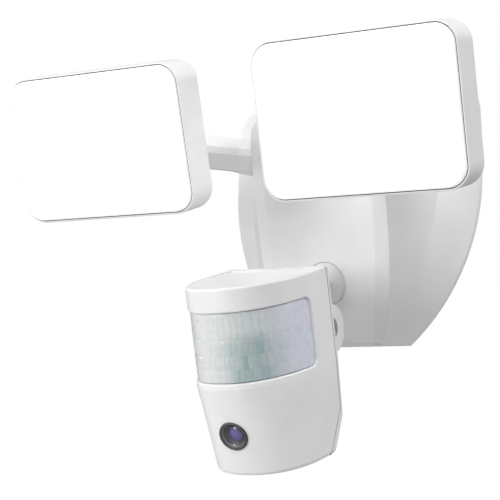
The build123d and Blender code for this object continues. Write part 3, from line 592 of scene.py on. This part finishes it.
# ---- turned pieces: the camera's trim and lens ----
# (radius, y) points in millimetres from the camera's mount; -Y is out of the head
TRIM_BACK = [(7.3, 3.0), (8.6, 3.0), (8.6, -0.2)]
TRIM_OUTER_ROUND = ((8.0, -0.2), 0.6, 0, 90, 6)
TRIM_INNER_ROUND = ((7.75, -0.3), 0.5, 90, 180, 5)
BEVEL_CONE = [(7.25, 3.0), (7.25, -0.1), (7.05, -0.2), (6.25, 1.3), (6.15, 1.6), (6.15, 3.0)]
BAFFLE_STEPS = [
    (6.1, 3.2),
    (6.1, 1.7),
    (5.75, 1.7),
    (5.7, 2.2),
    (5.4, 2.25),
    (5.35, 2.8),
    (5.05, 2.85),
    (5.0, 3.3),
    (4.7, 3.35),
    (4.65, 4.6),
    (6.0, 4.6),
]
DOME_RADIUS = 7.6
DOME_RIM = 4.55
DOME_BACK = 5.6
DOME_FRONT = 1.9
DOME_STEPS = 14


def lathe(profile, segments=72):
    """A bmesh turned about Y from (radius, y) points in millimetres.

    The profile runs from axis to axis, or is a closed ring.
    """
    mesh = bmesh.new()
    loops = []
    for radius, y in profile:
        if radius == 0:
            loops.append([mesh.verts.new((0, y * MM, 0))])
            continue
        turns = [2 * math.pi * i / segments for i in range(segments)]
        loops.append(
            [
                mesh.verts.new((radius * MM * math.cos(t), y * MM, radius * MM * math.sin(t)))
                for t in turns
            ]
        )
    pairs = list(zip(loops, loops[1:]))
    if profile[0][0] > 0:
        pairs.append((loops[-1], loops[0]))
    for a, b in pairs:
        for i in range(segments):
            j = (i + 1) % segments
            corners = [a[i % len(a)], a[j % len(a)], b[j % len(b)], b[i % len(b)]]
            mesh.faces.new(list(dict.fromkeys(corners)))
    return mesh


def arc(centre, radius, start, end, steps):
    """Points of an arc in a lathe's profile; 0 degrees points away from the axis and 90 forward."""
    sweep = [math.radians(start + (end - start) * i / steps) for i in range(steps + 1)]
    return [(centre[0] + radius * math.cos(a), centre[1] - radius * math.sin(a)) for a in sweep]


def camera_optics():
    """The rings and the front element of the camera's eye."""
    trim = TRIM_BACK + arc(*TRIM_OUTER_ROUND) + arc(*TRIM_INNER_ROUND)
    obj = piece("camera_trim_ring", lathe(trim), camera_mount, "sensor_head", "bezel_plastic")
    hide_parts("camera_bezel")
    obj = piece(
        "camera_inner_bevel", lathe(BEVEL_CONE), camera_mount, "sensor_head", "bezel_plastic"
    )
    obj.material_slots[0].material = BEVEL_PAINT.made
    piece("camera_baffle", lathe(BAFFLE_STEPS), camera_mount, "sensor_head", "black_plastic")
    rim = math.degrees(math.asin(DOME_RIM / DOME_RADIUS))
    crown = arc((0, DOME_FRONT + DOME_RADIUS), DOME_RADIUS, 90 - rim, 90, DOME_STEPS)
    dome = [(0.0, DOME_BACK), (DOME_RIM, DOME_BACK)] + crown[:-1] + [(0.0, DOME_FRONT)]
    obj = piece("camera_front_element", lathe(dome), camera_mount, "sensor_head", "coated_lens")
    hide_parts("camera_lens")
    # clear glass lets light through, where the renderer would shade the eye behind it
    frame["nodes"]["camera_glass"].visible_shadow = False


camera_optics()


# ---- the dark bead round each lamp's lens, painted shade of the gap between rim and lens ----
LAMP_WIDTH = 120.0
LAMP_HEIGHT = 87.7
LAMP_CORNER = 13.0
SHADE_BEAD_SECTION = ((1.05, 2.8), (1.05, 0.45), (1.55, 0.45), (1.55, 2.8))  # inset and depth


def rounded_outline(inset, steps=10):
    """(x, z) points round the lamp's face, moved in by inset."""
    radius = LAMP_CORNER - inset
    points = []
    for quarter, (side, end) in enumerate(((1, 1), (-1, 1), (-1, -1), (1, -1))):
        centre_x = side * (LAMP_WIDTH / 2 - LAMP_CORNER)
        centre_z = end * (LAMP_HEIGHT / 2 - LAMP_CORNER)
        for i in range(steps + 1):
            turn = math.pi / 2 * (quarter + i / steps)
            points.append((centre_x + radius * math.cos(turn), centre_z + radius * math.sin(turn)))
    return points


def gap_shade_beads():
    """A dark bead in the gap between each lamp's rim and its lens, as painted shade of that gap."""
    for name in ("left", "right"):
        mesh = bmesh.new()
        loops = [
            [mesh.verts.new((x * MM, y * MM, z * MM)) for x, z in rounded_outline(inset)]
            for inset, y in SHADE_BEAD_SECTION
        ]
        for a, b in zip(loops, loops[1:] + loops[:1]):
            for i in range(len(a)):
                j = (i + 1) % len(a)
                mesh.faces.new((a[i], a[j], b[j], b[i]))
        place = lamp_frame(name)
        # the dark bead stands in for the shade in the gap round the lens
        piece(f"lens_gap_shade_bead_{name}", mesh, place, f"{name}_lamp", "seal_rubber", smooth=False)


gap_shade_beads()


# ---- screws with a cross recess ----
# a pan head's section and a quarter of its cross, as shares of the head's radius and height
PAN_HEAD = ((1.0, 0.0), (1.0, 0.45), (0.93, 0.75), (0.78, 0.94))
CROSS = ((0.22, 0.95), (0.22, 0.22), (0.95, 0.22))
CROSS_REACH = 0.62
CROSS_TAPER = 0.82
CROSS_FLOOR = 0.35
SCREW_SEGMENTS = 32
# head radius, head height, shank radius and length, in millimetres
SHELL_SCREW = (2.8, 1.5, 1.5, 11.0)
CANOPY_SCREW = (2.8, 1.4, 1.5, 10.0)
BRACKET_SCREW = (2.5, 1.6, 1.5, 9.0)
# where they are: across and up on the head's back, under the housing, and on a lamp's clevis
SHELL_SCREW_PLACES = [(x, z) for x in (-27.3, 27.3) for z in (-9.0, -76.0)]
SHELL_SCREW_BEHIND = 2.4
CANOPY_SCREW_ACROSS = (-24.0, 24.0)
CANOPY_SCREW_FORWARD = 12.0
CANOPY_SCREW_DROP = 83.6
BRACKET_SCREW_PLACES = [(x, z) for x in (-14, 14) for z in (-11, 11)]
BRACKET_SCREW_BEHIND = 29.0


def cross_screw(mesh, place, sizes):
    """Adds one pan-head screw to a bmesh. Its head stands on the frame's origin, along +Z."""
    radius, height, shank, length = [part * MM for part in sizes]
    segments = SCREW_SEGMENTS

    def ring(size, z):
        turns = [2 * math.pi * (i + 0.5) / segments for i in range(segments)]
        return [
            mesh.verts.new(place @ Vector((size * math.cos(t), size * math.sin(t), z)))
            for t in turns
        ]

    def bridge(a, b):
        for i in range(segments):
            j = (i + 1) % segments
            mesh.faces.new((a[i], a[j], b[j], b[i]))

    profile = [(shank, -length), (shank, 0)]
    profile += [(radius * out, height * up) for out, up in PAN_HEAD]
    loops = [ring(size, z) for size, z in profile]
    mesh.faces.new(loops[0])
    for a, b in zip(loops, loops[1:]):
        bridge(a, b)
    reach = radius * CROSS_REACH
    outline = []
    for quarter in range(4):
        spin = Matrix.Rotation(math.pi / 2 * quarter, 4, "Z")
        outline += [spin @ Vector((x * reach, y * reach, 0)) for y, x in CROSS]
    top = [mesh.verts.new(place @ (p + Vector((0, 0, height)))) for p in outline]
    sunk = Vector((0, 0, height * CROSS_FLOOR))
    floor = [mesh.verts.new(place @ (p * CROSS_TAPER + sunk)) for p in outline]
    count = len(outline)
    edges = [mesh.edges.new((top[i], top[(i + 1) % count])) for i in range(count)]
    rim = loops[-1]
    edges += [mesh.edges.get((rim[i], rim[(i + 1) % segments])) for i in range(segments)]
    bmesh.ops.triangle_fill(mesh, edges=edges, use_beauty=True)
    for i in range(count):
        j = (i + 1) % count
        mesh.faces.new((top[i], top[j], floor[j], floor[i]))
    mesh.faces.new(floor)


def screws(name, node, body, places, size):
    """One piece with a screw at each place, in place of a node of plain ones."""
    mesh = bmesh.new()
    for place in places:
        cross_screw(mesh, place, size)
    obj = piece(name, mesh, Matrix.Identity(4), body, "zinc_steel", smooth=False)
    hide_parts(node)


def all_screws():
    """The screws on the head's back, under the housing and on each lamp's clevis."""
    backs = [
        turned(moved(head, x, SHELL_SCREW_BEHIND, z), -90, "X") for x, z in SHELL_SCREW_PLACES
    ]
    screws("shell_cross_screws", "shell_screws", "sensor_head", backs, SHELL_SCREW)
    wall = Matrix.Identity(4)
    unders = [
        turned(moved(wall, x, -CANOPY_SCREW_FORWARD, -CANOPY_SCREW_DROP), 180, "X")
        for x in CANOPY_SCREW_ACROSS
    ]
    screws("canopy_cross_screws", "canopy_screws", "housing", unders, CANOPY_SCREW)
    for name in ("left", "right"):
        lamp = lamp_frame(name)
        places = [
            turned(moved(lamp, x, BRACKET_SCREW_BEHIND, z), -90, "X")
            for x, z in BRACKET_SCREW_PLACES
        ]
        new, old = f"bracket_cross_screws_{name}", f"bracket_screws_{name}"
        screws(new, old, f"{name}_lamp", places, BRACKET_SCREW)


all_screws()

# ---- floor, light and camera ----
TARGET = Vector((0.02122, -0.155, -0.04533))
CAMERA_AZIMUTH = 33.04
CAMERA_ELEVATION = -8.03
CAMERA_ROLL = 1.57
CAMERA_DISTANCE = 0.8008
CAMERA_LENS = 106.37
FLOOR_DROP = 0.32
# the light from straight below, from the horizon and from straight above
WORLD_LEVELS = ((0.02, 0.02, 0.03, 1.0), (0.13, 0.13, 0.15, 1.0), (0.60, 0.60, 0.62, 1.0))
FLOOR_RADIUS = 5.0
FLOOR_FADE_START = 1.2
FLOOR_FADE_END = FLOOR_RADIUS * 0.9
WARM_LIGHT = (1.0, 0.985, 0.97)
COOL_LIGHT = (0.97, 0.98, 1.0)
WHITE_LIGHT = (1.0, 1.0, 1.0)
# azimuth, elevation, distance, size, watts and colour
LIGHTS = {
    "key": (-20, 4, 1.6, 0.8, 13.0, WARM_LIGHT),
    "left": (-75, 10, 1.6, 0.8, 7.5, WARM_LIGHT),
    "glint": (36, 32, 1.7, 0.4, 7.0, WHITE_LIGHT),
    "rim": (120, 38, 1.6, 0.8, 11.0, COOL_LIGHT),
    "top": (20, 80, 1.5, 1.0, 7.0, WHITE_LIGHT),
}


def around(azimuth, elevation):
    """The direction from the object toward a place round it; azimuth 0 is in front."""
    a, e = math.radians(azimuth), math.radians(elevation)
    return Vector((math.sin(a) * math.cos(e), -math.cos(a) * math.cos(e), math.sin(e)))


def make_camera():
    """The main view: from the front right and a little below the object."""
    data = bpy.data.cameras.new("camera")
    data.lens = CAMERA_LENS
    data.sensor_width = 36.0
    obj = placed("camera", data)
    back = around(CAMERA_AZIMUTH, CAMERA_ELEVATION)
    obj.location = TARGET + back * CAMERA_DISTANCE
    upright = (-back).to_track_quat("-Z", "Y").to_matrix().to_4x4()
    rolled = upright @ Matrix.Rotation(math.radians(CAMERA_ROLL), 4, "Z")
    obj.rotation_euler = rolled.to_euler()
    bpy.context.scene.camera = obj


def make_light(name, azimuth, elevation, distance, size, watts, colour):
    """A square soft light that faces the object."""
    data = bpy.data.lights.new(name, "AREA")
    data.size = size
    data.energy = watts
    data.color = colour
    obj = placed(name, data)
    away = around(azimuth, elevation)
    obj.location = TARGET + away * distance
    obj.rotation_euler = (-away).to_track_quat("-Z", "Y").to_euler()


def make_floor():
    """A pale round floor that fades out at its rim."""
    mesh = bmesh.new()
    bmesh.ops.create_circle(mesh, cap_ends=True, segments=96, radius=FLOOR_RADIUS)
    data = bpy.data.meshes.new("floor")
    mesh.to_mesh(data)
    mesh.free()
    obj = placed("floor", data)
    obj.location = (TARGET.x, TARGET.y, cad_low.z - FLOOR_DROP)
    made = Material("floor_paint", Specular_IOR_Level=0.2)
    made.mottle(400.0, grey(0.50), grey(0.54))
    made.roughness(0.7, 0.8, 60.0)
    far = made.node("ShaderNodeVectorMath", operation="LENGTH")
    made.join(made.where, far.inputs[0])
    fade = made.node(
        "ShaderNodeMapRange",
        interpolation_type="SMOOTHSTEP",
        From_Min=FLOOR_FADE_START,
        From_Max=FLOOR_FADE_END,
        To_Min=1.0,
        To_Max=0.0,
    )
    made.join(far.outputs["Value"], fade.inputs["Value"])
    made.join(fade.outputs["Result"], made.shader.inputs["Alpha"])
    data.materials.append(made.made)


def make_world():
    """White behind the object, and a softer light from all round."""
    world = bpy.data.worlds.new("studio")
    bpy.context.scene.world = world
    world.use_nodes = True
    tree = world.node_tree
    tree.nodes.clear()
    seen = tree.nodes.new("ShaderNodeBackground")
    seen.inputs["Color"].default_value = (1.0, 1.0, 1.0, 1.0)
    lit = tree.nodes.new("ShaderNodeBackground")
    where = tree.nodes.new("ShaderNodeTexCoord")
    parts = tree.nodes.new("ShaderNodeSeparateXYZ")
    height = tree.nodes.new("ShaderNodeMapRange")
    height.inputs["From Min"].default_value = -1.0
    shade = tree.nodes.new("ShaderNodeValToRGB")
    shade.color_ramp.elements.new(0.5)
    for element, level in zip(shade.color_ramp.elements, WORLD_LEVELS):
        element.color = level
    tree.links.new(where.outputs["Generated"], parts.inputs["Vector"])
    tree.links.new(parts.outputs["Z"], height.inputs["Value"])
    tree.links.new(height.outputs["Result"], shade.inputs["Fac"])
    tree.links.new(shade.outputs["Color"], lit.inputs["Color"])
    path = tree.nodes.new("ShaderNodeLightPath")
    pick = tree.nodes.new("ShaderNodeMixShader")
    out = tree.nodes.new("ShaderNodeOutputWorld")
    tree.links.new(path.outputs["Is Camera Ray"], pick.inputs["Fac"])
    tree.links.new(lit.outputs["Background"], pick.inputs[1])
    tree.links.new(seen.outputs["Background"], pick.inputs[2])
    tree.links.new(pick.outputs["Shader"], out.inputs["Surface"])


make_camera()
make_floor()
make_world()
for light, settings in LIGHTS.items():
    make_light(light, *settings)
bpy.context.scene.view_settings.view_transform = "Standard"
